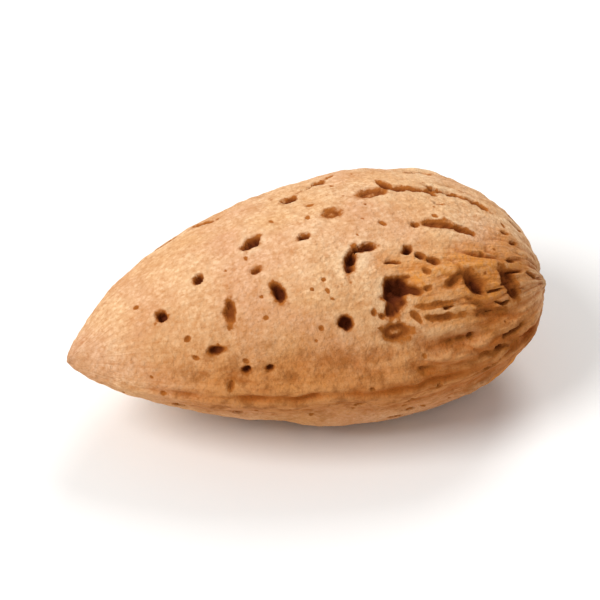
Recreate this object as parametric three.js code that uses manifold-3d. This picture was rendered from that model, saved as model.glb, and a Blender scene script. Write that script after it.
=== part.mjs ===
// A whole almond in its closed, pitted shell, lying on one broad face.
// Millimetres, +Z up. X runs along the nut, from its pointed tip at -X to its stem end at +X.
// Y runs across the broad faces, from the keeled seam at -Y to the rounded back at +Y.
// The origin is on the surface that the nut lies on, under the middle of its box.
//
// A place on the shell has two numbers: a station, from 0 at the tip to 1 at the stem end, and an
// angle round the nut, 0 at the back, 90 degrees on top, 180 at the seam and 270 underneath.
import * as THREE from "three";
import { mergeVertices } from "three/addons/utils/BufferGeometryUtils.js";
import Module from "manifold-3d";

// Main sizes of the nut.
const LENGTH = 35; // tip to stem end
const BACK_WIDTH = 12; // from the long axis out to the rounded back
const SEAM_WIDTH = 8.9; // from the long axis out to the seam, without its keel
const THICKNESS = 15.4; // through the two broad faces, before the resting spot is flattened
const REST_CUT = 0.55; // how much the resting spot takes off the lower face
const TIP_LEAN = 1.6; // how far the tip bends over towards the seam
const TIP_LEAN_REACH = 0.45; // station where that bend begins

// How each outline tapers: a power towards the tip, then a power towards the stem end.
const BACK_TAPER = [0.72, 0.4];
const SEAM_TAPER = [0.78, 0.52];
const FACE_TAPER = [0.78, 0.45];

// The hollow scar where the stem broke off.
const SCAR_DEPTH = 1.1;
const SCAR_RADIUS = 2.3;

// The keel along the seam: a ridge with a cleft along its crest and a gutter on each side.
const KEEL_RISE = 0.85;
const KEEL_HALF_WIDTH = 1.3;
const KEEL_GROWS = [0.02, 0.3]; // stations between which it rises out of the tip
const KEEL_FADES = [0.93, 1]; // stations between which it sinks into the stem end
const CLEFT_DEPTH = 0.5;
const CLEFT_HALF_WIDTH = 0.4;
const GUTTER_DEPTH = 0.1;
const GUTTER_OFFSET = 2.7; // from the crest to the bottom of a gutter
const GUTTER_HALF_WIDTH = 0.8;
const BACK_RIDGE_RISE = 0.3; // the fainter ridge along the back

// Furrows that fan out of the stem scar and run towards the tip.
const FURROWS = 26;
const FURROW_DEPTH = 0.3; // of the deepest
const SHALLOWEST_FURROW = 0.35; // as a share of the deepest
const FURROW_SHARE = 0.27; // half-width, as a share of the furrows' spacing
const FURROW_WANDER = 0.09; // radians that a furrow swings to each side
const FURROW_BENDS = 7; // radians of that swing from the tip to the stem end
const EDGE_REACH = 0.58; // station where a furrow beside the seam or the back dies out
const FACE_REACH = 0.84; // the same in the middle of a broad face
const EDGE_SHARPNESS = 1.5; // how narrowly the long furrows keep to the two edges
const REACH_SPREAD = 0.12; // stations by which the furrows' lengths differ
const FURROW_DIES_OUT = 0.2; // stations over which a furrow dies out
const FURROW_ENDS = [0.95, 1]; // stations between which it runs into the stem scar

// Shallow swellings that keep the faces from being even, as crossed waves:
// [share of the height, radians along the nut, where they start, swellings round it, where they start].
const LUMP_HEIGHT = 0.12;
const LUMP_WAVES = [
  [1, 9, 1.3, 2, 0.6],
  [0.7, 17, -0.8, 3, 2.1],
];

// Pits in the upper face, each as
// [millimetres from the tip, degrees round from the back, length, width, degrees turned from lengthwise,
// depth].
const UPPER_PITS = [
  [6.7, 114, 1.2, 0.85, 85, 0.75],
  [9.7, 97, 1.05, 0.75, 60, 0.5],
  [9.9, 149, 1.1, 0.7, 172, 0.55],
  [11.3, 126, 2.3, 0.9, 83, 0.42],
  [11.9, 163, 0.8, 0.6, 30, 0.45],
  [13.5, 163, 0.7, 0.5, 0, 0.38],
  [13.6, 105, 0.85, 0.7, 0, 0.45],
  [13.9, 86, 2.0, 1.1, 42, 0.85],
  [14.9, 121, 1.85, 1.1, 105, 0.8],
  [17.5, 92, 0.9, 0.8, 0, 0.6],
  [17.6, 63, 1.6, 0.9, 30, 0.8],
  [19.1, 142, 1.1, 1.0, 0, 0.8],
  [19.8, 54, 3.4, 0.5, 28, 0.4],
  [19.9, 81, 1.4, 1.15, 8, 0.4],
  [20.2, 111, 2.4, 0.85, 70, 0.7],
  [21.2, 105, 2.3, 0.65, 8, 0.6],
  [22.4, 137, 2.2, 1.0, 82, 0.6],
  [22.6, 150, 2.5, 1.3, 169, 0.4],
  [22.9, 132, 2.6, 1.7, 93, 0.8],
  [23.2, 72, 2.3, 1.4, 16, 0.45],
  [23.2, 127, 1.9, 1.6, 142, 1.0],
  [24.3, 66, 1.6, 0.6, 115, 0.4],
  [24.3, 131, 1.5, 0.65, 150, 0.5],
  [24.5, 109, 0.7, 0.65, 0, 0.5],
  [25.2, 113, 0.8, 0.55, 150, 0.32],
  [26.1, 117, 1.0, 0.6, 150, 0.35],
  [26.3, 71, 3.4, 0.7, 179, 0.5],
  [27.2, 93, 2.5, 0.9, 168, 0.36],
  [28.8, 70, 3.4, 0.7, 161, 0.5],
  [28.9, 98, 2.0, 0.6, 148, 0.32],
  [28.9, 131, 2.7, 1.3, 127, 0.35],
  [29.2, 134, 2.0, 0.65, 122, 0.5],
  [30.8, 74, 1.9, 0.6, 151, 0.45],
  [31.6, 132, 2.0, 0.65, 115, 0.45],
  [31.8, 136, 3.1, 1.5, 118, 0.42],
];

// Pits over the rest of the shell, spread evenly between these limits.
const OTHER_PITS = 44;
const OTHER_STATIONS = [0.14, 0.9];
const OTHER_ANGLES = [196, 412]; // degrees, from beside the seam, underneath, to over the back
const OTHER_LENGTHS = [0.7, 1.9];
const OTHER_WIDTHS = [0.55, 1.05];
const OTHER_TURNS = [-35, 35]; // degrees from lengthwise
const OTHER_DEPTH_SHARE = 0.85; // of a pit's width
const STEP_ALONG = 0.75487767; // steps from pit to pit, as shares of the limits, that never line up
const STEP_ROUND = 0.56984029;
const STRAY_ALONG = 0.05; // how far a pit strays from its even place, in stations
const STRAY_ROUND = 16; // the same round the nut, in degrees
const REST_CLEARANCE = 7; // millimetres round the middle of the resting spot with no pits

const PIT_FLOOR_SHARE = 0.5; // width of its floor, as a share of its mouth
const PIT_SIDES = 7;
const PLUG_RISE = 0.6; // how far a pit's cutter stands above the shell

const COLUMNS = 88; // facets round the nut
const ROWS = 36; // facets along it
const COLUMN_CROWDING = 0.35; // how much closer the columns stand at the seam
const SLOPE_STEP = 1e-3; // stations, or radians, over which a direction is measured
const WELD_DISTANCE = 1e-4;

const shellMaterial = new THREE.MeshStandardMaterial({
  color: "#d6a672",
  roughness: 0.85,
  metalness: 0,
});

const { clamp, degToRad, lerp, smoothstep } = THREE.MathUtils;
const bell = (distance, halfWidth) => Math.exp(-((distance / halfWidth) ** 2));
const fraction = (value) => value - Math.floor(value);
// An irregular number from 0 to 1 for each whole number, the same every time.
const scatter = (index, salt) => fraction(Math.sin(index * 12.9898 + salt * 78.233) * 43758.5453);

// Station where an outline is fullest.
function fullestStation([tipPower, stemPower]) {
  return tipPower / (tipPower + stemPower);
}

// Share of an outline's full half-width at a station, 1 where it is fullest.
function fullness(station, taper) {
  const fullest = fullestStation(taper);
  return (station / fullest) ** taper[0] * ((1 - station) / (1 - fullest)) ** taper[1];
}

// Half-thickness of the nut at a station.
function halfThickness(station) {
  return (THICKNESS / 2) * fullness(station, FACE_TAPER);
}

// How far the stem scar is hollowed at a station, by the nut's half-width there.
function scarDepth(station) {
  if (station < fullestStation(BACK_TAPER)) return 0;
  return SCAR_DEPTH * bell(BACK_WIDTH * fullness(station, BACK_TAPER), SCAR_RADIUS);
}

// A point of the smooth form: half an ellipse to the back and a narrower half to the seam.
function smoothPoint(station, angle) {
  const backReach = BACK_WIDTH * fullness(station, BACK_TAPER);
  const seamReach = SEAM_WIDTH * fullness(station, SEAM_TAPER);
  const reach = Math.cos(angle) > 0 ? backReach : seamReach;
  const lean = TIP_LEAN * Math.max(0, 1 - station / TIP_LEAN_REACH) ** 2;
  return new THREE.Vector3(
    LENGTH * (station - 0.5) - scarDepth(station),
    reach * Math.cos(angle) - lean,
    halfThickness(station) * Math.sin(angle),
  );
}

// The directions along the smooth form and out of it at a place.
function directions(station, angle) {
  const inside = clamp(station, 2 * SLOPE_STEP, 1 - 2 * SLOPE_STEP);
  const ahead = smoothPoint(inside + SLOPE_STEP, angle);
  const along = ahead.sub(smoothPoint(inside - SLOPE_STEP, angle)).normalize();
  const onward = smoothPoint(inside, angle + SLOPE_STEP);
  const around = onward.sub(smoothPoint(inside, angle - SLOPE_STEP));
  return { along, outward: around.cross(along).normalize() };
}

// Height of the keel with its cleft and gutters, and of the fainter ridge along the back.
function ridgeHeight(station, angle) {
  const offset = Math.abs(halfThickness(station) * Math.sin(angle));
  const strength = smoothstep(station, ...KEEL_GROWS) * (1 - smoothstep(station, ...KEEL_FADES));
  if (Math.cos(angle) > 0) return strength * BACK_RIDGE_RISE * bell(offset, KEEL_HALF_WIDTH);
  const keel = KEEL_RISE * bell(offset, KEEL_HALF_WIDTH);
  const cleft = CLEFT_DEPTH * bell(offset, CLEFT_HALF_WIDTH);
  const gutter = GUTTER_DEPTH * bell(offset - GUTTER_OFFSET, GUTTER_HALF_WIDTH);
  return strength * (keel - cleft - gutter);
}

// Depth of the furrows at a place, each with its own depth, swing and length.
function furrowDepth(station, angle) {
  const pitch = (2 * Math.PI) / FURROWS;
  const reach = lerp(FACE_REACH, EDGE_REACH, Math.abs(Math.cos(angle)) ** EDGE_SHARPNESS);
  const ending = 1 - smoothstep(station, ...FURROW_ENDS);
  let depth = 0;
  for (let furrow = 0; furrow < FURROWS; furrow++) {
    const swing = Math.sin(FURROW_BENDS * station + 2 * Math.PI * scatter(furrow, 1));
    const line = (furrow + scatter(furrow, 2) / 2) * pitch + FURROW_WANDER * swing;
    const apart = Math.atan2(Math.sin(angle - line), Math.cos(angle - line));
    const start = reach + REACH_SPREAD * (scatter(furrow, 3) - 0.5);
    const strength = ending * smoothstep(station, start, start + FURROW_DIES_OUT);
    const share = lerp(SHALLOWEST_FURROW, 1, scatter(furrow, 4));
    depth += FURROW_DEPTH * share * strength * bell(apart, FURROW_SHARE * pitch);
  }
  return depth;
}

// Height of the shallow swellings, none at the two ends.
function lumpHeight(station, angle) {
  let height = 0;
  for (const [share, bends, start, swellings, roundStart] of LUMP_WAVES) {
    height += share * Math.sin(bends * station + start) * Math.sin(swellings * angle + roundStart);
  }
  return LUMP_HEIGHT * Math.sin(Math.PI * station) * height;
}

// A point of the shell: the smooth form with its relief, flattened where the nut rests.
function shellPoint(station, angle) {
  const relief = ridgeHeight(station, angle) - furrowDepth(station, angle) + lumpHeight(station, angle);
  const point = smoothPoint(station, angle).addScaledVector(directions(station, angle).outward, relief);
  point.z = Math.max(point.z, REST_CUT - THICKNESS / 2);
  return point;
}

// The shell before its pits: a sphere with each vertex moved to its place on the nut.
function plainShell() {
  const geometry = new THREE.SphereGeometry(1, COLUMNS, ROWS);
  const { position, uv } = geometry.attributes;
  for (let i = 0; i < position.count; i++) {
    const station = (1 - Math.cos(Math.PI * uv.getY(i))) / 2;
    const turn = 2 * Math.PI * uv.getX(i);
    const point = shellPoint(station, turn + COLUMN_CROWDING * Math.sin(turn));
    position.setXYZ(i, point.x, point.y, point.z);
  }
  return geometry;
}

// The cutter of one pit: a tapered plug that stands square to the shell.
function pitPlug([fromTip, degrees, length, width, turned, depth]) {
  const station = fromTip / LENGTH;
  const angle = degToRad(degrees);
  const { along, outward } = directions(station, angle);
  const lengthwise = along.applyAxisAngle(outward, degToRad(turned));
  const crosswise = lengthwise.clone().cross(outward);
  const plug = new THREE.CylinderGeometry(1, PIT_FLOOR_SHARE, 1, PIT_SIDES).translate(0, 0.5, 0);
  plug.scale(length / 2, depth + PLUG_RISE, width / 2).translate(0, -depth, 0);
  const place = new THREE.Matrix4().makeBasis(lengthwise, outward, crosswise);
  return plug.applyMatrix4(place.setPosition(shellPoint(station, angle)));
}

// The pits that no list gives, in the same form, with none at the resting spot.
function otherPits() {
  const pits = [];
  const restFromTip = LENGTH * fullestStation(FACE_TAPER);
  for (let index = 1; index <= OTHER_PITS; index++) {
    const evenStation = lerp(...OTHER_STATIONS, fraction(index * STEP_ALONG));
    const evenDegrees = lerp(...OTHER_ANGLES, fraction(index * STEP_ROUND));
    const fromTip = LENGTH * (evenStation + STRAY_ALONG * (scatter(index, 15) - 0.5));
    const degrees = evenDegrees + STRAY_ROUND * (scatter(index, 16) - 0.5);
    const fromUnderneath = BACK_WIDTH * degToRad(degrees - 270);
    if (Math.hypot(fromTip - restFromTip, fromUnderneath) < REST_CLEARANCE) continue;
    const length = lerp(...OTHER_LENGTHS, scatter(index, 5) ** 2);
    const width = Math.min(length, lerp(...OTHER_WIDTHS, scatter(index, 6)));
    const turned = lerp(...OTHER_TURNS, scatter(index, 7));
    pits.push([fromTip, degrees, length, width, turned, OTHER_DEPTH_SHARE * width]);
  }
  return pits;
}

const wasm = await Module();
wasm.setup();

// A closed geometry as a solid that can be cut.
function solidOf(geometry) {
  geometry.deleteAttribute("normal");
  geometry.deleteAttribute("uv");
  const welded = mergeVertices(geometry, WELD_DISTANCE);
  const vertProperties = welded.attributes.position.array;
  const triVerts = new Uint32Array(welded.index.array);
  return new wasm.Manifold(new wasm.Mesh({ numProp: 3, vertProperties, triVerts }));
}

// The pitted shell, moved so that it rests on the origin's plane.
function pittedShell() {
  let solid = solidOf(plainShell());
  for (const pit of [...UPPER_PITS, ...otherPits()]) {
    solid = solid.subtract(solidOf(pitPlug(pit)));
  }
  const { vertProperties, triVerts } = solid.getMesh();
  const geometry = new THREE.BufferGeometry();
  geometry.setAttribute("position", new THREE.BufferAttribute(vertProperties, 3));
  geometry.setIndex(new THREE.BufferAttribute(triVerts, 1));
  geometry.computeBoundingBox();
  const { min, max } = geometry.boundingBox;
  return geometry.translate(-(min.x + max.x) / 2, -(min.y + max.y) / 2, -min.z);
}

const almond = new THREE.Mesh(pittedShell(), shellMaterial);
almond.name = "almond";

const part = new THREE.Group();
part.add(almond);

export default part;
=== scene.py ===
import bpy
import numpy as np
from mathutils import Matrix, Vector


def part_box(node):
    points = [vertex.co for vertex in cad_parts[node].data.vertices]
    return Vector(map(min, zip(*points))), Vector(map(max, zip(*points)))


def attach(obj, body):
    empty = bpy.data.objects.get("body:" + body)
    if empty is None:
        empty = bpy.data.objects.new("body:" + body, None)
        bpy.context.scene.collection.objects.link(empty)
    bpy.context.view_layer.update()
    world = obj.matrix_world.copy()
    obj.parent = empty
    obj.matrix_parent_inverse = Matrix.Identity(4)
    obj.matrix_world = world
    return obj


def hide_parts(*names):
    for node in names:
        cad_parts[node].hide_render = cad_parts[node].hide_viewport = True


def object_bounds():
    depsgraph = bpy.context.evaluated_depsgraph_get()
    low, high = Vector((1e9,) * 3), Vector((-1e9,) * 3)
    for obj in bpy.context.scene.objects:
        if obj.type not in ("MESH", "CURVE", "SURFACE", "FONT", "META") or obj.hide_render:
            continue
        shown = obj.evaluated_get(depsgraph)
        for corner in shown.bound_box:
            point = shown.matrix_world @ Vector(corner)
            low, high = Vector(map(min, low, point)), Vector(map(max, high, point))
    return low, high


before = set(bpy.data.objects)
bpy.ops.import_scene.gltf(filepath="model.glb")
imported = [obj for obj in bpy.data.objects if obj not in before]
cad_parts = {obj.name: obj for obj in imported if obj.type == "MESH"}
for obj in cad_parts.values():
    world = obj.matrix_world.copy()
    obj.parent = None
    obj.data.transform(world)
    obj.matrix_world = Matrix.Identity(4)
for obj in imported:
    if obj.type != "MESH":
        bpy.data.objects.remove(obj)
cad_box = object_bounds()

# The shell: one woody piece that grew shut round its kernel, a flattened drop with a pointed tip, a thick
# stem end and a keel along its seam. Its corky outer layer is suede-like, worn through in pits and split
# by the fibres that run out of the stem scar.

# A place on it is a station, from 0 at the tip to 1 at the stem end, and an angle round it, 0 at the
# back, 90 degrees on top, 180 at the seam and 270 underneath.
MM = 0.001
LENGTH = 35.0  # millimetres, tip to stem end
BACK_WIDTH = 12.0  # from the long axis to the rounded back
SEAM_WIDTH = 8.9  # from the long axis to the seam, without its keel
THICKNESS = 15.4  # through the broad faces, before the resting spot is flattened
REST_CUT = 0.55  # taken off the lower face by the resting spot
TIP_LEAN = 1.6  # how far the tip bends over towards the seam
TIP_LEAN_REACH = 0.45  # station where that bend begins
BACK_TAPER = (0.72, 0.4)  # power of each outline towards the tip, then towards the stem end
SEAM_TAPER = (0.78, 0.52)
FACE_TAPER = (0.78, 0.45)
SCAR_DEPTH = 1.1
SCAR_RADIUS = 2.3


def bell(distance, half_width):
    """A smooth hump, 1 at no distance and about a third at the half-width."""
    return np.exp(-((distance / half_width) ** 2))


def ease(value, start, end):
    """0 before start, 1 after end, and a smooth rise between them."""
    share = np.clip((value - start) / (end - start), 0, 1)
    return share * share * (3 - 2 * share)


def fullest_station(taper):
    """Station where an outline is fullest."""
    return taper[0] / (taper[0] + taper[1])


def fullness(station, taper):
    """Share of an outline's full half-width: one power of the way from the tip times one from the stem."""
    fullest = fullest_station(taper)
    return (station / fullest) ** taper[0] * ((1 - station) / (1 - fullest)) ** taper[1]


def half_thickness(station):
    """Half the nut's thickness at a station."""
    return THICKNESS / 2 * fullness(station, FACE_TAPER)


def scar_share(station):
    """1 in the middle of the stem scar, fading out round it, by the nut's half-width at the station."""
    inside = bell(BACK_WIDTH * fullness(station, BACK_TAPER), SCAR_RADIUS)
    return np.where(station > fullest_station(BACK_TAPER), inside, 0)


def smooth_form(station, angle):
    """Points of the bare form: half an ellipse to the back and a narrower half to the seam at every
    station, with the tip bent towards the seam and the stem end dished."""
    back = BACK_WIDTH * fullness(station, BACK_TAPER)
    seam = SEAM_WIDTH * fullness(station, SEAM_TAPER)
    reach = np.where(np.cos(angle) > 0, back, seam)
    lean = TIP_LEAN * np.clip(1 - station / TIP_LEAN_REACH, 0, None) ** 2
    lengthwise = LENGTH * (station - 0.5) - SCAR_DEPTH * scar_share(station)
    crosswise = reach * np.cos(angle) - lean
    upward = half_thickness(station) * np.sin(angle)
    return np.stack([lengthwise, crosswise, upward], axis=-1)


SLOPE_STEP = 5e-6  # stations, or radians, over which a direction is measured


def unit(vectors):
    """The same directions with length 1."""
    return vectors / np.linalg.norm(vectors, axis=-1, keepdims=True)


def directions(station, angle):
    """Unit vectors along the bare form and out of it, from small steps to both sides of each place."""
    inside = np.clip(station, 2 * SLOPE_STEP, 1 - 2 * SLOPE_STEP)
    along = unit(smooth_form(inside + SLOPE_STEP, angle) - smooth_form(inside - SLOPE_STEP, angle))
    around = smooth_form(inside, angle + SLOPE_STEP) - smooth_form(inside, angle - SLOPE_STEP)
    return along, unit(np.cross(around, along))


# The grid that carries the shell: rows closer together at both ends, columns closer on the upper face.
ROWS = 340
COLUMNS = 290
COLUMN_CROWDING = 0.3
CROWDED_ANGLE = np.radians(130)

row_turn = np.pi * np.arange(1, ROWS) / ROWS
column_turn = 2 * np.pi * np.arange(COLUMNS) / COLUMNS
row_stations = (1 - np.cos(row_turn)) / 2
column_angles = column_turn - COLUMN_CROWDING * np.sin(column_turn - CROWDED_ANGLE)
station, angle = np.meshgrid(row_stations, column_angles, indexing="ij")
bare = smooth_form(station, angle)
outward = directions(station, angle)[1]
from_axis = BACK_WIDTH * fullness(station, BACK_TAPER)
stem_half = station > fullest_station(BACK_TAPER)
seam_side = np.cos(angle) < 0

# Irregularity, the same in every run: smooth noise in space, and scattered numbers. Every use of either has
# its own seed or salt.
CORNER_FACTORS = np.array([374761393, 668265263, 2147483647])  # large primes that scramble a corner
SCRAMBLE_FACTOR = 1274126177
SCRAMBLE_SHIFTS = (13, 16)  # bits
LOW_BITS = 0xFFFF  # those of a scrambled number that make a value
FINE_LAYER_SEED = 100  # from the seed of a noise's first layer to that of its second
INDEX_STEP = 12.9898  # radians from one scattered number to the next
SALT_STEP = 78.233  # radians from one set of them to the next
SCATTER_STRETCH = 43758.5453


def lattice_noise(points, cell, seed):
    """Smooth noise from -1 to 1: every corner of a cubic lattice has a scrambled value, and a point takes
    its cell's eight values, each weighted by an eased nearness."""
    place = points / cell
    corner = np.floor(place).astype(np.int64)
    share = ease(place - corner, 0, 1)
    total = np.zeros(points.shape[:-1])
    for side in np.ndindex(2, 2, 2):
        near = corner + np.array(side)
        scrambled = near @ CORNER_FACTORS + seed * SCRAMBLE_FACTOR
        scrambled = (scrambled ^ (scrambled >> SCRAMBLE_SHIFTS[0])) * SCRAMBLE_FACTOR
        scrambled = (scrambled ^ (scrambled >> SCRAMBLE_SHIFTS[1])) & LOW_BITS
        value = scrambled / (LOW_BITS >> 1) - 1
        total += value * np.prod(np.where(np.array(side) == 1, share, 1 - share), axis=-1)
    return total


def rough_noise(points, cell, seed):
    """Noise with a second, finer layer of half the size and height."""
    return lattice_noise(points, cell, seed) + lattice_noise(points, cell / 2, seed + FINE_LAYER_SEED) / 2


def scatter(index, salt):
    """An irregular number from 0 to 1 for each whole number, the same every time: the places after the
    point of a much stretched sine."""
    value = SCATTER_STRETCH * np.sin(index * INDEX_STEP + salt * SALT_STEP)
    return value - np.floor(value)


def between(limits, share):
    """The value that far along from the first limit to the second."""
    return limits[0] + (limits[1] - limits[0]) * share


# The keel along the seam, with a cleft along its crest and a gutter on each side.
KEEL_RISE = 0.85
KEEL_HALF_WIDTH = 1.3
KEEL_GROWS = (0.02, 0.3)  # stations between which it rises out of the tip
KEEL_FADES = (0.93, 1.0)  # stations between which it sinks into the stem end
CLEFT_DEPTH = 0.5
CLEFT_HALF_WIDTH = 0.3
CLEFT_BREAK_SIZE = 1.7  # millimetres between the places where it weakens
CLEFT_MEAN = 0.75  # the cleft's mean strength, and how far it comes and goes
CLEFT_SWAY = 0.7
CLEFT_LIMITS = (0.15, 1.2)
GUTTER_DEPTH = 0.1
GUTTER_OFFSET = 2.7  # from the crest to the bottom of a gutter
GUTTER_HALF_WIDTH = 0.8
BACK_RIDGE_RISE = 0.3
SEAM_WAVER = 0.3  # how far the cleft strays from its line
SEAM_WAVER_SIZE = 2.4

strays = SEAM_WAVER * rough_noise(bare, SEAM_WAVER_SIZE, 1)
from_seam = np.abs(half_thickness(station) * np.sin(angle) + strays)
keel_strength = ease(station, *KEEL_GROWS) * (1 - ease(station, *KEEL_FADES))
cleft_strength = CLEFT_MEAN + CLEFT_SWAY * lattice_noise(bare, CLEFT_BREAK_SIZE, 2)
keel = KEEL_RISE * bell(from_seam, KEEL_HALF_WIDTH)
cleft = np.clip(cleft_strength, *CLEFT_LIMITS) * bell(from_seam, CLEFT_HALF_WIDTH)
gutter = GUTTER_DEPTH * bell(from_seam - GUTTER_OFFSET, GUTTER_HALF_WIDTH)
back_ridge = BACK_RIDGE_RISE * bell(from_seam, KEEL_HALF_WIDTH)
ridges = keel_strength * np.where(seam_side, keel - CLEFT_DEPTH * cleft - gutter, back_ridge)
cleft = keel_strength * np.where(seam_side, cleft, 0)

# The furrows that fan out of the stem scar, long beside the seam and the back and short on the faces.
FURROWS = 26
FURROW_DEPTH = 0.3
FURROW_MEAN = 0.6  # a furrow's mean strength, and how far it comes and goes
FURROW_SWAY = 0.6
SHALLOWEST_FURROW = 0.35
FURROW_SHARE = 0.27  # half-width as a share of the furrows' spacing
FURROW_WANDER = 0.09  # radians that a furrow swings to each side
FURROW_BENDS = 7.0  # radians of that swing from the tip to the stem end
EDGE_REACH = 0.58  # station where a furrow beside the seam or the back dies out
FACE_REACH = 0.84  # the same on the faces
EDGE_SHARPNESS = 1.5  # power that keeps the long furrows close to the edges
REACH_SPREAD = 0.12
FURROW_DIES_OUT = 0.2  # stations over which it grows to its full strength
FURROW_ENDS = (0.985, 0.998)  # stations between which it ends in the scar
BREAK_SIZE = 3.0  # millimetres between the places where furrows weaken
FURROW_BEND_SIZE = 3.5
FURROW_BEND = 0.6  # millimetres that a furrow bends to each side

pitch = 2 * np.pi / FURROWS
furrow_reach = between((FACE_REACH, EDGE_REACH), np.abs(np.cos(angle)) ** EDGE_SHARPNESS)
short_of_scar = 1 - ease(station, *FURROW_ENDS)
furrow_strength = short_of_scar * (FURROW_MEAN + FURROW_SWAY * rough_noise(bare, BREAK_SIZE, 3))
furrow_bend = FURROW_BEND * rough_noise(bare, FURROW_BEND_SIZE, 17)
bent_angle = angle + furrow_bend / np.maximum(from_axis, SCAR_RADIUS)
furrows = np.zeros_like(station)
for furrow in range(FURROWS):
    swing = np.sin(FURROW_BENDS * station + 2 * np.pi * scatter(furrow, 1))
    line = (furrow + scatter(furrow, 2) / 2) * pitch + FURROW_WANDER * swing
    apart = np.arctan2(np.sin(bent_angle - line), np.cos(bent_angle - line))
    start = furrow_reach + REACH_SPREAD * (scatter(furrow, 3) - 0.5)
    strength = furrow_strength * ease(station, start, start + FURROW_DIES_OUT)
    strength = strength * between((SHALLOWEST_FURROW, 1), scatter(furrow, 4))
    furrows += strength * bell(apart, FURROW_SHARE * pitch)

# Shallow swellings, as crossed waves: share of the height, radians along the nut and where they start,
# then swellings round it and where they start.
LUMP_HEIGHT = 0.12
LUMP_WAVES = ((1.0, 9.0, 1.3, 2, 0.6), (0.7, 17.0, -0.8, 3, 2.1))

lumps = np.zeros_like(station)
for share, bends, bend_start, swellings, swelling_start in LUMP_WAVES:
    lumps += share * np.sin(bends * station + bend_start) * np.sin(swellings * angle + swelling_start)
lumps *= LUMP_HEIGHT * np.sin(np.pi * station)

# Pits in the upper face: millimetres from the tip, degrees round from the back, length, width, degrees
# turned from lengthwise, and depth.
UPPER_PITS = (
    (6.7, 114, 1.2, 0.85, 85, 0.75),
    (9.7, 97, 1.05, 0.75, 60, 0.5),
    (9.9, 149, 1.1, 0.7, 172, 0.55),
    (11.3, 126, 2.3, 0.9, 83, 0.42),
    (11.9, 163, 0.8, 0.6, 30, 0.45),
    (13.5, 163, 0.7, 0.5, 0, 0.38),
    (13.6, 105, 0.85, 0.7, 0, 0.45),
    (13.9, 86, 2.0, 1.1, 42, 0.85),
    (14.9, 121, 1.85, 1.1, 105, 0.8),
    (17.5, 92, 0.9, 0.8, 0, 0.6),
    (17.6, 63, 1.6, 0.9, 30, 0.8),
    (19.1, 142, 1.1, 1.0, 0, 0.8),
    (19.8, 54, 3.4, 0.5, 28, 0.4),
    (20.2, 111, 2.4, 0.85, 70, 0.7),
    (21.2, 105, 2.3, 0.65, 8, 0.6),
    (22.4, 137, 2.2, 1.0, 82, 0.6),
    (22.9, 132, 2.6, 1.7, 93, 0.8),
    (23.2, 127, 1.9, 1.6, 142, 1.0),
    (24.3, 131, 1.5, 0.65, 150, 0.5),
    (24.3, 66, 1.6, 0.6, 115, 0.4),
    (24.5, 109, 0.7, 0.65, 0, 0.5),
    (25.2, 113, 0.8, 0.55, 150, 0.32),
    (26.1, 117, 1.0, 0.6, 150, 0.35),
    (26.3, 71, 3.4, 0.7, 179, 0.5),
    (27.2, 93, 2.5, 0.9, 168, 0.36),
    (28.9, 98, 2.0, 0.6, 148, 0.32),
    (28.8, 70, 3.4, 0.7, 161, 0.5),
    (28.9, 131, 2.7, 1.3, 127, 0.35),
    (29.2, 134, 2.0, 0.65, 122, 0.5),
    (30.8, 74, 1.9, 0.6, 151, 0.45),
    (31.6, 132, 2.0, 0.65, 115, 0.45),
    (31.8, 136, 3.1, 1.5, 118, 0.42),
)

# Shallow pits of the same form whose floor has stayed, so that only a ring is sunk.
UPPER_RINGS = (
    (19.9, 81, 1.4, 1.15, 8, 0.4),
    (22.6, 150, 2.5, 1.3, 169, 0.4),
    (23.2, 72, 2.3, 1.4, 16, 0.45),
)

# Finer slits beside them, in the same form, where the fibres show through.
UPPER_SLITS = (
    (25.5, 93, 0.6, 0.55, 0, 0.26),
    (25.5, 122, 0.6, 0.5, 0, 0.22),
    (24.1, 145, 1.4, 0.55, 125, 0.2),
    (24.2, 172, 0.8, 0.5, 0, 0.25),
    (25.9, 140, 3.6, 0.5, 178, 0.17),
    (26.1, 147, 3.6, 0.5, 176, 0.16),
    (26.4, 161, 0.7, 0.5, 175, 0.18),
    (27.3, 161, 0.8, 0.45, 170, 0.14),
    (27.7, 128, 2.3, 0.55, 27, 0.22),
    (28.0, 161, 0.7, 0.5, 20, 0.25),
    (28.8, 143, 1.9, 0.5, 153, 0.19),
    (29.8, 151, 3.2, 0.5, 165, 0.19),
    (30.0, 174, 5.0, 0.5, 175, 0.19),
)

# Pits over the rest of the shell, spread evenly between these limits, with none at the resting spot.
OTHER_PITS = 44
OTHER_STATIONS = (0.14, 0.9)
OTHER_ANGLES = (196, 412)  # degrees, from beside the seam, underneath, to over the back
OTHER_LENGTHS = (0.7, 1.9)
OTHER_WIDTHS = (0.55, 1.05)
OTHER_TURNS = (-35, 35)
OTHER_DEPTH_SHARE = 0.85  # of a pit's width
STEP_ALONG = 0.75487767  # steps from pit to pit, as shares of the limits, that never line up
STEP_ROUND = 0.56984029
STRAY_ALONG = 0.05  # how far a pit strays from its even place, in stations and in degrees
STRAY_ROUND = 16
REST_CLEARANCE = 7.0  # millimetres round the middle of the resting spot
UNDERNEATH = 270  # degrees


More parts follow.
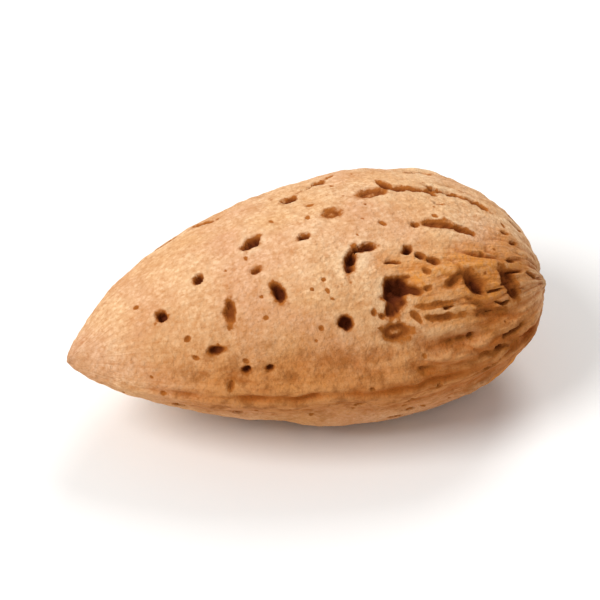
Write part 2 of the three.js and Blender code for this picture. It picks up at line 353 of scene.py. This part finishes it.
def other_pits():
    """The evenly spread pits, each as in the list for the upper face."""
    rest_from_tip = LENGTH * fullest_station(FACE_TAPER)
    made = []
    for index in range(1, OTHER_PITS + 1):
        at = between(OTHER_STATIONS, index * STEP_ALONG % 1) + STRAY_ALONG * (scatter(index, 15) - 0.5)
        from_tip = LENGTH * at
        degrees = between(OTHER_ANGLES, index * STEP_ROUND % 1) + STRAY_ROUND * (scatter(index, 16) - 0.5)
        from_underneath = BACK_WIDTH * np.radians(degrees - UNDERNEATH)
        if np.hypot(from_tip - rest_from_tip, from_underneath) < REST_CLEARANCE:
            continue
        length = between(OTHER_LENGTHS, scatter(index, 5) ** 2)
        width = min(length, between(OTHER_WIDTHS, scatter(index, 6)))
        turned = between(OTHER_TURNS, scatter(index, 7))
        made.append((from_tip, degrees, length, width, turned, OTHER_DEPTH_SHARE * width))
    return made


# Pores, the pin-pricks between the pits, and fissures, the short slits that split the stem end lengthwise.
PORES = 150
PORE_STATIONS = (0.08, 0.93)
PORE_CROWDING = 0.65  # power below 1 that crowds them towards the stem end
PORE_SIZES = (0.2, 0.42)
PORE_DEPTH_SHARE = 0.5
FISSURES = 70
FISSURE_STATIONS = (0.66, 0.97)
FISSURE_CROWDING = 0.7
FISSURE_LENGTHS = (0.8, 2.6)
FISSURE_WIDTHS = (0.2, 0.42)
FISSURE_TURNS = (-14, 14)
FISSURE_DEPTH = 0.4


def pores():
    """Pin-pricks all round, as in the list for the upper face."""
    made = []
    for index in range(1, PORES + 1):
        from_tip = LENGTH * between(PORE_STATIONS, scatter(index, 17) ** PORE_CROWDING)
        degrees = 360 * (index * STEP_ROUND % 1)
        width = between(PORE_SIZES, scatter(index, 8) ** 2)
        length = width * (1 + scatter(index, 9) ** 2)
        made.append((from_tip, degrees, length, width, 180 * scatter(index, 10), PORE_DEPTH_SHARE * width))
    return made


def fissures():
    """Slits along the fibres, crowded towards the stem end, as in the list for the upper face."""
    made = []
    for index in range(1, FISSURES + 1):
        from_tip = LENGTH * between(FISSURE_STATIONS, scatter(index, 11) ** FISSURE_CROWDING)
        degrees = 360 * (index * STEP_ROUND % 1)
        length = between(FISSURE_LENGTHS, scatter(index, 12) ** 2)
        width = between(FISSURE_WIDTHS, scatter(index, 13))
        turned = between(FISSURE_TURNS, scatter(index, 14))
        made.append((from_tip, degrees, length, width, turned, FISSURE_DEPTH))
    return made


WAVER_SIZE = 1.5
WAVER = 0.28  # millimetres that a long spot bends to each side

waver = WAVER * rough_noise(bare, WAVER_SIZE, 15)[..., None]


def spot_distance(near_reach, raggedness, from_tip, degrees, length, width, turned):
    """Which places lie within so many lengths of a long spot on the shell, and how far out of its middle
    each of them is: 0 in the middle and 1 at its edge, which the raggedness bends in and out. The spot
    itself wavers from side to side, more so the longer it is for its width."""
    at = np.array(from_tip / LENGTH)
    round_at = np.radians(degrees)
    ahead, out = directions(at, round_at)
    aside = np.cross(out, ahead)
    lengthwise = np.cos(np.radians(turned)) * ahead + np.sin(np.radians(turned)) * aside
    crosswise = np.cross(out, lengthwise)
    offset = bare + (1 - width / length) * waver * crosswise - smooth_form(at, round_at)
    near = np.linalg.norm(offset, axis=-1) < near_reach * length
    shares = offset[near] @ np.stack([lengthwise / length, crosswise / width, out / width], axis=-1)
    return near, 2 * np.linalg.norm(shares, axis=-1) * (1 + raggedness[near])


PIT_WALL = (0.58, 1.06)  # where a pit's wall starts and ends, as shares of its half-size
FLOOR_LEFT = 0.6  # how much of a ring's depth, and of its stain, the floor inside it is spared
FLOOR_HALF_SIZE = 0.55
RING_UNEVENNESS = 0.4  # of a ring, as a share of a pit's
PIT_HALO = 1.8  # how far round it the shell is stained, in the same shares
RAG_SIZE = 0.6  # the raggedness of a pit's edge
RAG_SHARE = 0.33
FLOOR_ROUGH_SIZE = 0.7
FLOOR_ROUGHNESS = 0.45
FLOOR_LIMITS = (0.4, 1.5)  # shallowest and deepest places of a floor, as shares of a pit's depth
DARKEST_DEPTH = 0.7  # millimetres down where a pit is darkest

rag = RAG_SHARE * rough_noise(bare, RAG_SIZE, 4)
floor_rough = FLOOR_ROUGHNESS * rough_noise(bare, FLOOR_ROUGH_SIZE, 16)
pits = np.zeros_like(station)
nearness = np.zeros_like(station)


def sink(unevenness, floor_left, *spot, depth):
    """Sinks a pit: a floor inside its wall, of which a share is left standing in the middle. Its edge and
    its floor are as uneven as told."""
    near, from_middle = spot_distance(PIT_HALO, unevenness * rag, *spot)
    standing = floor_left * bell(from_middle, FLOOR_HALF_SIZE)
    hollow = 1 - ease(from_middle, *PIT_WALL) - standing
    hollow *= np.clip(1 + unevenness * floor_rough[near], *FLOOR_LIMITS)
    pits[near] = np.maximum(pits[near], depth * hollow)
    stain = (1 - standing) * np.clip(1 - from_middle / PIT_HALO, 0, 1)
    nearness[near] = np.maximum(nearness[near], stain)


for *spot, depth in (*UPPER_PITS, *UPPER_SLITS, *other_pits(), *pores(), *fissures()):
    sink(1, 0, *spot, depth=depth)
for *spot, depth in UPPER_RINGS:
    sink(RING_UNEVENNESS, FLOOR_LEFT, *spot, depth=depth)

# Worn patches, where the corky layer has rubbed off the fibres: as a pit, without a depth.
WORN_PATCHES = (
    (28.9, 126, 11.0, 7.0, 170),
    (30.0, 300, 9.0, 6.0, 8),
    (29.0, 12, 8.0, 4.5, 176),
    (30.5, 225, 7.0, 4.0, 0),
)
WORN_EDGE = (0.3, 1.25)
WORN_REACH = 1.6
WORN_RAG_SIZE = 2.4
WORN_RAG_SHARE = 0.4

worn_rag = WORN_RAG_SHARE * rough_noise(bare, WORN_RAG_SIZE, 5)
worn = np.zeros_like(station)
for spot in WORN_PATCHES:
    near, from_middle = spot_distance(WORN_REACH, worn_rag, *spot)
    worn[near] = np.maximum(worn[near], 1 - ease(from_middle, *WORN_EDGE))

# Ribs, where the corky layer has drawn together in a long low ridge: as a pit, with a height.
RIBS = (
    (27.2, 168, 13.5, 1.2, 177, 0.5),
    (26.6, 155, 8.0, 1.3, 172, 0.25),
    (29.0, 205, 10.0, 1.4, 8, 0.3),
    (27.0, 340, 11.0, 1.3, 4, 0.25),
    (28.5, 40, 9.0, 1.2, 176, 0.25),
)
RIB_EDGE = (0.0, 1.1)
RIB_REACH = 1.1

ribs = np.zeros_like(station)
for *spot, rise in RIBS:
    near, from_middle = spot_distance(RIB_REACH, worn_rag, *spot)
    ribs[near] = np.maximum(ribs[near], rise * (1 - ease(from_middle, *RIB_EDGE)))

# Fibres: ridges and thin cracks that follow the flow from the stem scar, strongest there, in worn
# patches and beside the seam. The cracks run where a stretched, swirled noise changes its sign.
FLOW_RADIUS = 9.0  # millimetres from the long axis where the fibres' spacing is true
FIBRE_SPACING = 0.8
FIBRE_LENGTH = 7.0
FIBRE_HEIGHT = 0.11
CRACK_SPACING = 1.5
CRACK_HALF_WIDTH = 0.14  # as a share of the noise's height
CRACK_DEPTH = 0.27
CRACK_SHORTNESS = 2.0  # how many times shorter than a fibre a crack is
CRACK_MEAN = 0.55  # a crack's mean strength, how far it comes and goes, and the most it comes to
CRACK_SWAY = 0.9
CRACK_MOST = 1.2
FINE_CRACK_SPACING = 0.95  # of those in the worn patches
FINE_CRACK_SHARE = 0.75
SWIRL_SIZE = 3.2
SWIRL = 0.7  # millimetres that the cracks stray sideways
FIBRE_SWIRL = 0.3  # the same for the fibres
CLEAR_OF_SCAR = (1.3, 3.8)  # millimetres from the long axis between which the fibres come out of the scar
MOST_CROWDED = 3  # how many times closer together the fibres run near the ends, at the most
SEAM_FIBRE_WIDTH = 2.6
SEAM_TINT_AND_SHADE_WIDTH = 5.0
SEAM_FIBRE_SHARE = 0.7  # how fibrous and how cracked the seam is
SEAM_CRACK_SHARE = 0.5
BACK_SHARE = 0.2  # how much of that the ridge along the back has
SIDE_BLEND = (-0.3, 0.3)  # cosines from the seam between which the back passes into the seam's side
TIP_FIBRE_SHARE = 0.5
TIP_FIBRE_REACH = 0.1
STEM_FIBRES_GROW = 0.3

flow = np.stack([
    LENGTH * station * FIBRE_SPACING / FIBRE_LENGTH,
    FLOW_RADIUS * np.cos(angle),
    FLOW_RADIUS * np.sin(angle),
], axis=-1)
swirl = np.stack([rough_noise(bare, SWIRL_SIZE, seed) for seed in (6, 7, 8)], axis=-1)
swirled = flow * np.array([CRACK_SHORTNESS, 1, 1]) + SWIRL * swirl
crowding = np.clip(FLOW_RADIUS / from_axis, 1, MOST_CROWDED)
flow += FIBRE_SWIRL * crowding[..., None] * swirl
out_of_scar = np.where(stem_half, ease(from_axis, *CLEAR_OF_SCAR), 1)
seam_weight = keel_strength * between((BACK_SHARE, 1), ease(-np.cos(angle), *SIDE_BLEND))
seam_band = seam_weight * bell(from_seam, SEAM_FIBRE_WIDTH)
# The seam's tint for the material: partly the fibres' own orange and partly painted shade on the seam's
# side, fading away from it, with a weaker share along the back.
seam_tint_and_shade = seam_weight * bell(from_seam, SEAM_TINT_AND_SHADE_WIDTH)
by_stem = ease(station, furrow_reach, furrow_reach + STEM_FIBRES_GROW)
by_tip = TIP_FIBRE_SHARE * bell(station, TIP_FIBRE_REACH)
fibrous = np.clip(by_stem + SEAM_FIBRE_SHARE * seam_band + worn + by_tip, 0, 1) * out_of_scar
cracked = np.clip(by_stem + SEAM_CRACK_SHARE * seam_band + worn, 0, 1) * short_of_scar
fibres = FIBRE_HEIGHT / crowding * fibrous * rough_noise(flow, FIBRE_SPACING, 9)
crack_strength = CRACK_MEAN + CRACK_SWAY * lattice_noise(bare, BREAK_SIZE / 2, 10)
crack_strength = np.clip(crack_strength, 0, CRACK_MOST)
cracks = cracked * crack_strength * bell(lattice_noise(swirled, CRACK_SPACING, 11), CRACK_HALF_WIDTH)
fine_cracks = bell(lattice_noise(swirled, FINE_CRACK_SPACING, 18), CRACK_HALF_WIDTH)
cracks = np.maximum(cracks, FINE_CRACK_SHARE * worn * crack_strength * fine_cracks)

# The broken stem scar: a rough hollow with a crumbled rim.
RIM_RADIUS = 2.9
RIM_HALF_WIDTH = 0.7
RIM_RISE = 0.35
RIM_MEAN = 0.6  # its mean share of that rise, and how far the crumbling changes it
RIM_SWAY = 0.8
CRUMBLE_SIZE = 0.9
CRUMBLE_HEIGHT = 0.5

rim = np.where(stem_half, bell(from_axis - RIM_RADIUS, RIM_HALF_WIDTH), 0)
scar = scar_share(station)
crumble = rough_noise(bare, CRUMBLE_SIZE, 12)
crumbled_rim = RIM_RISE * rim * (RIM_MEAN + RIM_SWAY * crumble)
scar_relief = crumbled_rim + CRUMBLE_HEIGHT * scar * crumble

# Dents and grain: the unevenness of the corky layer, from thumb-nail dents down to its fine tooth.
DENT_SIZE = 2.6
DENT_HEIGHT = 0.1
GRAIN_SIZE = 0.5
GRAIN_HEIGHT = 0.045
POINT_RADIUS = 0.6  # millimetres round each end over which all fine relief dies out

uneven = DENT_HEIGHT * rough_noise(bare, DENT_SIZE, 13) + GRAIN_HEIGHT * rough_noise(bare, GRAIN_SIZE, 14)
splits = FURROW_DEPTH * furrows + CRACK_DEPTH * cracks + pits
fine = uneven + fibres + scar_relief - splits
relief = ridges + ribs + lumps + ease(from_axis, 0, POINT_RADIUS) * fine

shell_points = bare + relief[..., None] * outward
shell_points[..., 2] = np.maximum(shell_points[..., 2], REST_CUT - THICKNESS / 2)


def blurred(values, steps):
    """Values averaged with their neighbours on the grid, over and over."""
    for _ in range(steps):
        rows = np.pad(values, ((1, 1), (0, 0)), mode="edge")
        values = (rows[:-2] + 2 * rows[1:-1] + rows[2:]) / 4
        values = (np.roll(values, 1, axis=1) + 2 * values + np.roll(values, -1, axis=1)) / 4
    return values


# Local relief for the material: each place's height over its blurred surroundings. It paints raised places
# paler, partly as wear and partly as a painted highlight, and hollows browner as painted shade, the stem
# end's point among them.
HOLLOW_BLUR = 40  # steps
FULL_HOLLOW = 0.16  # millimetres above or below its surroundings where a place counts in full
STEM_HEIGHT = -0.5  # the height of the stem end's last point, by the same count

height = np.clip((relief - blurred(relief, HOLLOW_BLUR)) / FULL_HOLLOW, -1, 1)


def closed_grid(rows, first_end, last_end):
    """Vertices and faces of a grid that wraps round: quads between its rows, and a fan to one point at
    each end."""
    row_count, column_count = rows.shape[:2]
    number = np.arange(row_count * column_count).reshape(row_count, column_count)
    onward = np.roll(number, -1, axis=1)
    quads = np.stack([number[:-1], number[1:], onward[1:], onward[:-1]], axis=-1).reshape(-1, 4)
    first = number.size
    last = first + 1
    first_fan = np.stack([np.full(column_count, first), number[0], onward[0]], axis=-1)
    last_fan = np.stack([np.full(column_count, last), onward[-1], number[-1]], axis=-1)
    vertices = np.concatenate([rows.reshape(-1, 3), [first_end, last_end]])
    return vertices, quads.tolist() + first_fan.tolist() + last_fan.tolist()


tip, stem = smooth_form(np.array([0.0, 1.0]), np.zeros(2))
vertices, faces = closed_grid(shell_points, tip, stem)
lowest, highest = (np.array(corner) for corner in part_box("almond"))
own_middle = (vertices.min(axis=0) + vertices.max(axis=0)) / 2
to_frame = (lowest + highest) / 2 - MM * own_middle
to_frame[2] = lowest[2] - MM * vertices[:, 2].min()

shell_mesh = bpy.data.meshes.new("almond_shell")
shell_mesh.from_pydata(MM * vertices + to_frame, [], faces)
shell_mesh.shade_smooth()


def paint(mesh, name, values, end_values):
    """Stores a value at every vertex, the grid's first and then the two ends', for the material to read."""
    values = np.concatenate([np.ravel(values), np.ravel(end_values)]).astype(np.float32)
    if values.size == len(mesh.vertices):
        mesh.attributes.new(name, "FLOAT", "POINT").data.foreach_set("value", values)
    else:
        mesh.attributes.new(name, "FLOAT_VECTOR", "POINT").data.foreach_set("vector", values)


paint(shell_mesh, "pit", nearness, (0, 0))
paint(shell_mesh, "depth", np.clip(pits / DARKEST_DEPTH, 0, 1), (0, 0))
paint(shell_mesh, "crack", np.clip(furrows + cracks + cleft, 0, 1), (0, 0))
paint(shell_mesh, "fibrous", fibrous, (TIP_FIBRE_SHARE, 0))
# The seam's tint: partly the fibres' colour, partly painted shade.
paint(shell_mesh, "seam", seam_tint_and_shade, (0, 0))
paint(shell_mesh, "worn", worn, (0, 0))
paint(shell_mesh, "scar", scar, (0, 1))
# Local relief: raised places painted paler (partly wear, partly painted highlight), hollows browner
# (painted shade).
paint(shell_mesh, "height", height, (0, STEM_HEIGHT))
paint(shell_mesh, "flow", flow, ((0, 0, 0), (LENGTH * FIBRE_SPACING / FIBRE_LENGTH, 0, 0)))

shell = bpy.data.objects.new("almond_shell", shell_mesh)
bpy.context.scene.collection.objects.link(shell)


def linear(hex_colour):
    """A linear RGBA colour from an sRGB hex value."""
    channels = np.array([int(hex_colour[start:start + 2], 16) for start in (1, 3, 5)]) / 255
    channels = np.where(channels <= 0.04045, channels / 12.92, ((channels + 0.055) / 1.055) ** 2.4)
    return (*channels.tolist(), 1.0)


def add_node(tree, kind, inputs, output=0, **settings):
    """Adds a node with its settings, gives each input a value or another node's output, and returns the
    output asked for."""
    made = tree.nodes.new(kind)
    for name, value in settings.items():
        setattr(made, name, value)
    for name, value in inputs.items():
        if isinstance(value, bpy.types.NodeSocket):
            tree.links.new(value, made.inputs[name])
        else:
            made.inputs[name].default_value = value
    return made.outputs[output] if made.outputs else made


# Almond shell: dry, corky wood with a suede-like, matt surface. It is tan and mottled, orange-brown along
# its fibres and dark brown in its pits; raised places are painted paler, partly as wear and partly as a
# painted highlight, and hollows browner as painted shade.
TAN = "#dfae7c"
PALE_TAN = "#f1cda3"
ROSY_TAN = "#dcab8c"
DEEP_TAN = "#b87a44"
# The pale of raised places: partly wear, partly a painted highlight.
PALE_WEAR_AND_HIGHLIGHT = "#f2d6ae"
# The fibres' own brown, also used below as painted shade in hollows.
FIBRE_AND_SHADE_BROWN = "#a6581a"
# The seam side's orange: partly the fibres' colour, partly painted shade.
SEAM_ORANGE_AND_SHADE = "#bd7632"
WORN_ORANGE = "#d88c3e"
WEATHERED_BROWN = "#834a1e"
HALO_BROWN = "#a66024"
RIM_BROWN = "#78390c"
DEEP_PIT = "#5c2508"
TINGE_SIZE = 7.0  # millimetres
MOTTLE_SIZE = 4.5
FLECK_SIZE = 1.1
TOOTH_SIZE = 0.26
PRICK_SPACING = 0.75
GRANULE_SIZE = 0.42
STREAK_SPACING = 0.4
CRUMB_SIZE = 0.35  # of the crumbled edge of a pit
CRUMB_SHIFT = 0.09  # how far it moves that edge, as a share of the stored nearness
NOISE_SPREAD = (0.3, 0.7)  # between which nearly all of a noise lies
PIT_RIM = 1 - 1 / PIT_HALO  # what the stored nearness to a pit is at its edge
HALO_SETS_IN = (PIT_RIM - 0.2, PIT_RIM + 0.02)  # nearness between which the stain round a pit sets in
PIT_SETS_IN = (PIT_RIM - 0.06, PIT_RIM + 0.04)  # the same for the pit's own colour
SEAM_CORE = (0.5, 0.9)  # shares of the seam's tint, partly painted shade, between which its darker patches set in, partly weathering and partly painted shade
ROUGHNESS_LIMITS = (0.74, 0.92)
WOOD_IOR = 1.5
WOOD_SPECULAR = 0.12
BUMP_STRENGTH = 0.8
BUMP_HEIGHT = 0.16  # millimetres
PER_METRE = 1 / MM


def almond_shell_material():
    """Tan wood that takes one stain after another, each as strong as a noise or a stored value says. A map
    range takes a value, where it starts and ends, and what comes out there, as its inputs 0 to 4."""
    material = bpy.data.materials.new("dry almond shell")
    material.use_nodes = True
    tree = material.node_tree
    tree.nodes.clear()

    place = add_node(tree, "ShaderNodeTexCoord", {}, "Object")
    stored = {}
    for name in ("pit", "depth", "crack", "fibrous", "seam", "worn", "scar", "height"):
        stored[name] = add_node(tree, "ShaderNodeAttribute", {}, "Fac", attribute_name=name)
    flow_at = add_node(tree, "ShaderNodeAttribute", {}, "Vector", attribute_name="flow")

    noises = {}
    for name, vector, scale, detail, roughness in (
        ("tinge", place, PER_METRE / TINGE_SIZE, 2, 0.5),
        ("mottle", place, PER_METRE / MOTTLE_SIZE, 4, 0.55),
        ("fleck", place, PER_METRE / FLECK_SIZE, 4, 0.65),
        ("tooth", place, PER_METRE / TOOTH_SIZE, 2, 0.55),
        ("crumb", place, PER_METRE / CRUMB_SIZE, 3, 0.55),
        ("streak", flow_at, 1 / STREAK_SPACING, 4, 0.6),
    ):
        settings = {"Vector": vector, "Scale": scale, "Detail": detail, "Roughness": roughness}
        noises[name] = add_node(tree, "ShaderNodeTexNoise", settings)
    settings = {"Vector": place, "Scale": PER_METRE / PRICK_SPACING}
    prick = add_node(tree, "ShaderNodeTexVoronoi", settings)
    settings = {"Vector": place, "Scale": PER_METRE / GRANULE_SIZE, "Detail": 1}
    granule = add_node(tree, "ShaderNodeTexVoronoi", settings)
    least, most = NOISE_SPREAD
    settings = {0: noises["crumb"], 1: least, 2: most, 3: -CRUMB_SHIFT, 4: CRUMB_SHIFT}
    crumb_shift = add_node(tree, "ShaderNodeMapRange", settings)
    pit = add_node(tree, "ShaderNodeMath", {0: stored["pit"], 1: crumb_shift}, operation="ADD")
    settings = {0: stored["seam"], 1: SEAM_CORE[0], 2: SEAM_CORE[1]}
    seam_core = add_node(tree, "ShaderNodeMapRange", settings)
    smoothest, roughest = ROUGHNESS_LIMITS
    settings = {0: noises["fleck"], 1: least, 2: most, 3: smoothest, 4: roughest}
    roughness_at = add_node(tree, "ShaderNodeMapRange", settings)

    def stained(colour, stains):
        """The colour after each stain: its tint, what it follows, where that starts and ends, its strength
        at both, and what it is kept to. A mix takes its strength as input 0 and its colours as 6 and 7,
        and gives a colour as output 2."""
        for tint, follows, start, end, weak, strong, kept_to in stains:
            settings = {0: follows, 1: start, 2: end, 3: weak, 4: strong}
            strength = add_node(tree, "ShaderNodeMapRange", settings)
            if kept_to is not None:
                strength = add_node(tree, "ShaderNodeMath", {0: strength, 1: kept_to}, operation="MULTIPLY")
            if isinstance(tint, str):
                tint = linear(tint)
            layers = {0: strength, 6: colour, 7: tint}
            colour = add_node(tree, "ShaderNodeMix", layers, 2, data_type="RGBA")
        return colour

    pit_colour = stained(linear(HALO_BROWN), (
        (RIM_BROWN, stored["depth"], 0.16, 0.54, 0, 1, None),
        (DEEP_PIT, stored["depth"], 0.54, 0.86, 0, 1, None),
    ))
    colour = stained(linear(TAN), (
        (PALE_TAN, noises["mottle"], 0.35, 0.68, 0, 1, None),
        (ROSY_TAN, noises["tinge"], 0.45, 0.62, 0, 0.6, None),
        (DEEP_TAN, noises["fleck"], 0.48, 0.75, 0, 0.7, None),
        (DEEP_TAN, noises["tooth"], 0.52, 0.75, 0, 0.6, None),
        (FIBRE_AND_SHADE_BROWN, prick, 0.3, 0.14, 0, 0.5, noises["mottle"]),
        (DEEP_TAN, granule, 0.5, 0.85, 0, 0.35, None),
        (DEEP_TAN, noises["streak"], 0.5, 0.7, 0, 0.3, None),
        # Raised places paler: partly wear, partly a painted highlight.
        (PALE_WEAR_AND_HIGHLIGHT, stored["height"], 0.2, 1, 0, 0.35, None),
        # The seam's side painted darker and oranger, partly the fibres' colour and partly painted shade;
        # its darker patches likewise.
        (SEAM_ORANGE_AND_SHADE, stored["seam"], 0.1, 1, 0, 0.85, None),
        (WEATHERED_BROWN, noises["fleck"], 0.46, 0.62, 0, 0.6, seam_core),
        (WORN_ORANGE, noises["crumb"], 0.35, 0.6, 0.5, 1, stored["worn"]),
        (FIBRE_AND_SHADE_BROWN, noises["streak"], 0.44, 0.66, 0, 0.58, stored["fibrous"]),
        # Hollows browner: painted shade.
        (FIBRE_AND_SHADE_BROWN, stored["height"], -0.15, -1, 0, 0.55, None),
        (FIBRE_AND_SHADE_BROWN, stored["crack"], 0.1, 0.9, 0, 0.8, None),
        (WEATHERED_BROWN, stored["scar"], 0, 0.8, 0, 0.75, None),
        (RIM_BROWN, noises["crumb"], 0.5, 0.66, 0, 0.8, stored["scar"]),
        (HALO_BROWN, pit, *HALO_SETS_IN, 0, 0.7, None),
        (pit_colour, pit, *PIT_SETS_IN, 0, 1, None),
    ))

    # What raises the surface: by which share, and what that is kept to.
    bumps = None
    for follows, share, kept_to in (
        (noises["tooth"], 0.9, None),
        (noises["fleck"], 0.8, None),
        (granule, -0.4, None),
        (noises["streak"], 1.4, stored["fibrous"]),
    ):
        raised = add_node(tree, "ShaderNodeMath", {0: follows, 1: share}, operation="MULTIPLY")
        if kept_to is not None:
            raised = add_node(tree, "ShaderNodeMath", {0: raised, 1: kept_to}, operation="MULTIPLY")
        if bumps is not None:
            raised = add_node(tree, "ShaderNodeMath", {0: raised, 1: bumps}, operation="ADD")
        bumps = raised
    settings = {"Strength": BUMP_STRENGTH, "Distance": BUMP_HEIGHT * MM, "Height": bumps}
    bumped = add_node(tree, "ShaderNodeBump", settings)
    shader = add_node(tree, "ShaderNodeBsdfPrincipled", {
        "Base Color": colour,
        "Roughness": roughness_at,
        "IOR": WOOD_IOR,
        "Specular IOR Level": WOOD_SPECULAR,
        "Normal": bumped,
    })
    add_node(tree, "ShaderNodeOutputMaterial", {"Surface": shader})
    return material


shell_mesh.materials.append(almond_shell_material())
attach(shell, "root")
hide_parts("almond")

# The floor, the light and the camera: a plain white sheet carries the nut, under one broad soft lamp above
# and to the left and a weaker one from behind, to the right. The camera looks down on the face with the
# pits, tip to the left and the seam's side near.
FLOOR_SIZE = 4.0  # metres
PAPER_WHITE = "#f4f3f1"
PAPER_ROUGHNESS = 0.9
PAPER_SPECULAR = 0.1
CAMERA_AZIMUTH = -12.0  # degrees
CAMERA_ELEVATION = 40.0
CAMERA_DISTANCE = 0.45  # metres
NEAREST_SEEN = 0.01
FIELD_WIDTH = 43.0  # millimetres across the frame at the nut
SENSOR_WIDTH = 36.0
LAMPS = (
    # place in metres, size in metres, power in watts
    ((-0.46, -0.12, 0.5), 0.4, 3.7),
    ((0.22, 0.38, 0.48), 0.35, 1.9),
)
SKY_WHITE = "#ffffff"
SKY_STRENGTH = 0.48

half_floor = FLOOR_SIZE / 2
floor_corners = [(x * half_floor, y * half_floor, 0) for x, y in ((-1, -1), (1, -1), (1, 1), (-1, 1))]
floor_mesh = bpy.data.meshes.new("floor")
floor_mesh.from_pydata(floor_corners, [], [(0, 1, 2, 3)])
paper = bpy.data.materials.new("white paper")
paper.use_nodes = True
paper_inputs = paper.node_tree.nodes["Principled BSDF"].inputs
paper_inputs["Base Color"].default_value = linear(PAPER_WHITE)
paper_inputs["Roughness"].default_value = PAPER_ROUGHNESS
paper_inputs["Specular IOR Level"].default_value = PAPER_SPECULAR
floor_mesh.materials.append(paper)
floor = bpy.data.objects.new("floor", floor_mesh)
bpy.context.scene.collection.objects.link(floor)

middle = (cad_box[0] + cad_box[1]) / 2
for number, (place, size, power) in enumerate(LAMPS):
    lamp_data = bpy.data.lights.new(f"lamp_{number}", "AREA")
    lamp_data.shape = "DISK"
    lamp_data.size = size
    lamp_data.energy = power
    lamp = bpy.data.objects.new(f"lamp_{number}", lamp_data)
    lamp.location = place
    lamp.rotation_euler = (middle - Vector(place)).to_track_quat("-Z", "Y").to_euler()
    bpy.context.scene.collection.objects.link(lamp)

sky = bpy.data.worlds.new("sky")
sky.use_nodes = True
sky_inputs = sky.node_tree.nodes["Background"].inputs
sky_inputs["Color"].default_value = linear(SKY_WHITE)
sky_inputs["Strength"].default_value = SKY_STRENGTH
bpy.context.scene.world = sky
bpy.context.scene.view_settings.view_transform = "Standard"

azimuth, elevation = np.radians([CAMERA_AZIMUTH, CAMERA_ELEVATION])
towards_camera = Vector((
    np.sin(azimuth) * np.cos(elevation),
    -np.cos(azimuth) * np.cos(elevation),
    np.sin(elevation),
))
camera_data = bpy.data.cameras.new("camera")
camera_data.sensor_width = SENSOR_WIDTH
camera_data.lens = SENSOR_WIDTH * CAMERA_DISTANCE / (FIELD_WIDTH * MM)
camera_data.clip_start = NEAREST_SEEN
camera = bpy.data.objects.new("camera", camera_data)
camera.location = middle + CAMERA_DISTANCE * towards_camera
camera.rotation_euler = towards_camera.to_track_quat("Z", "Y").to_euler()
bpy.context.scene.collection.objects.link(camera)
bpy.context.scene.camera = camera
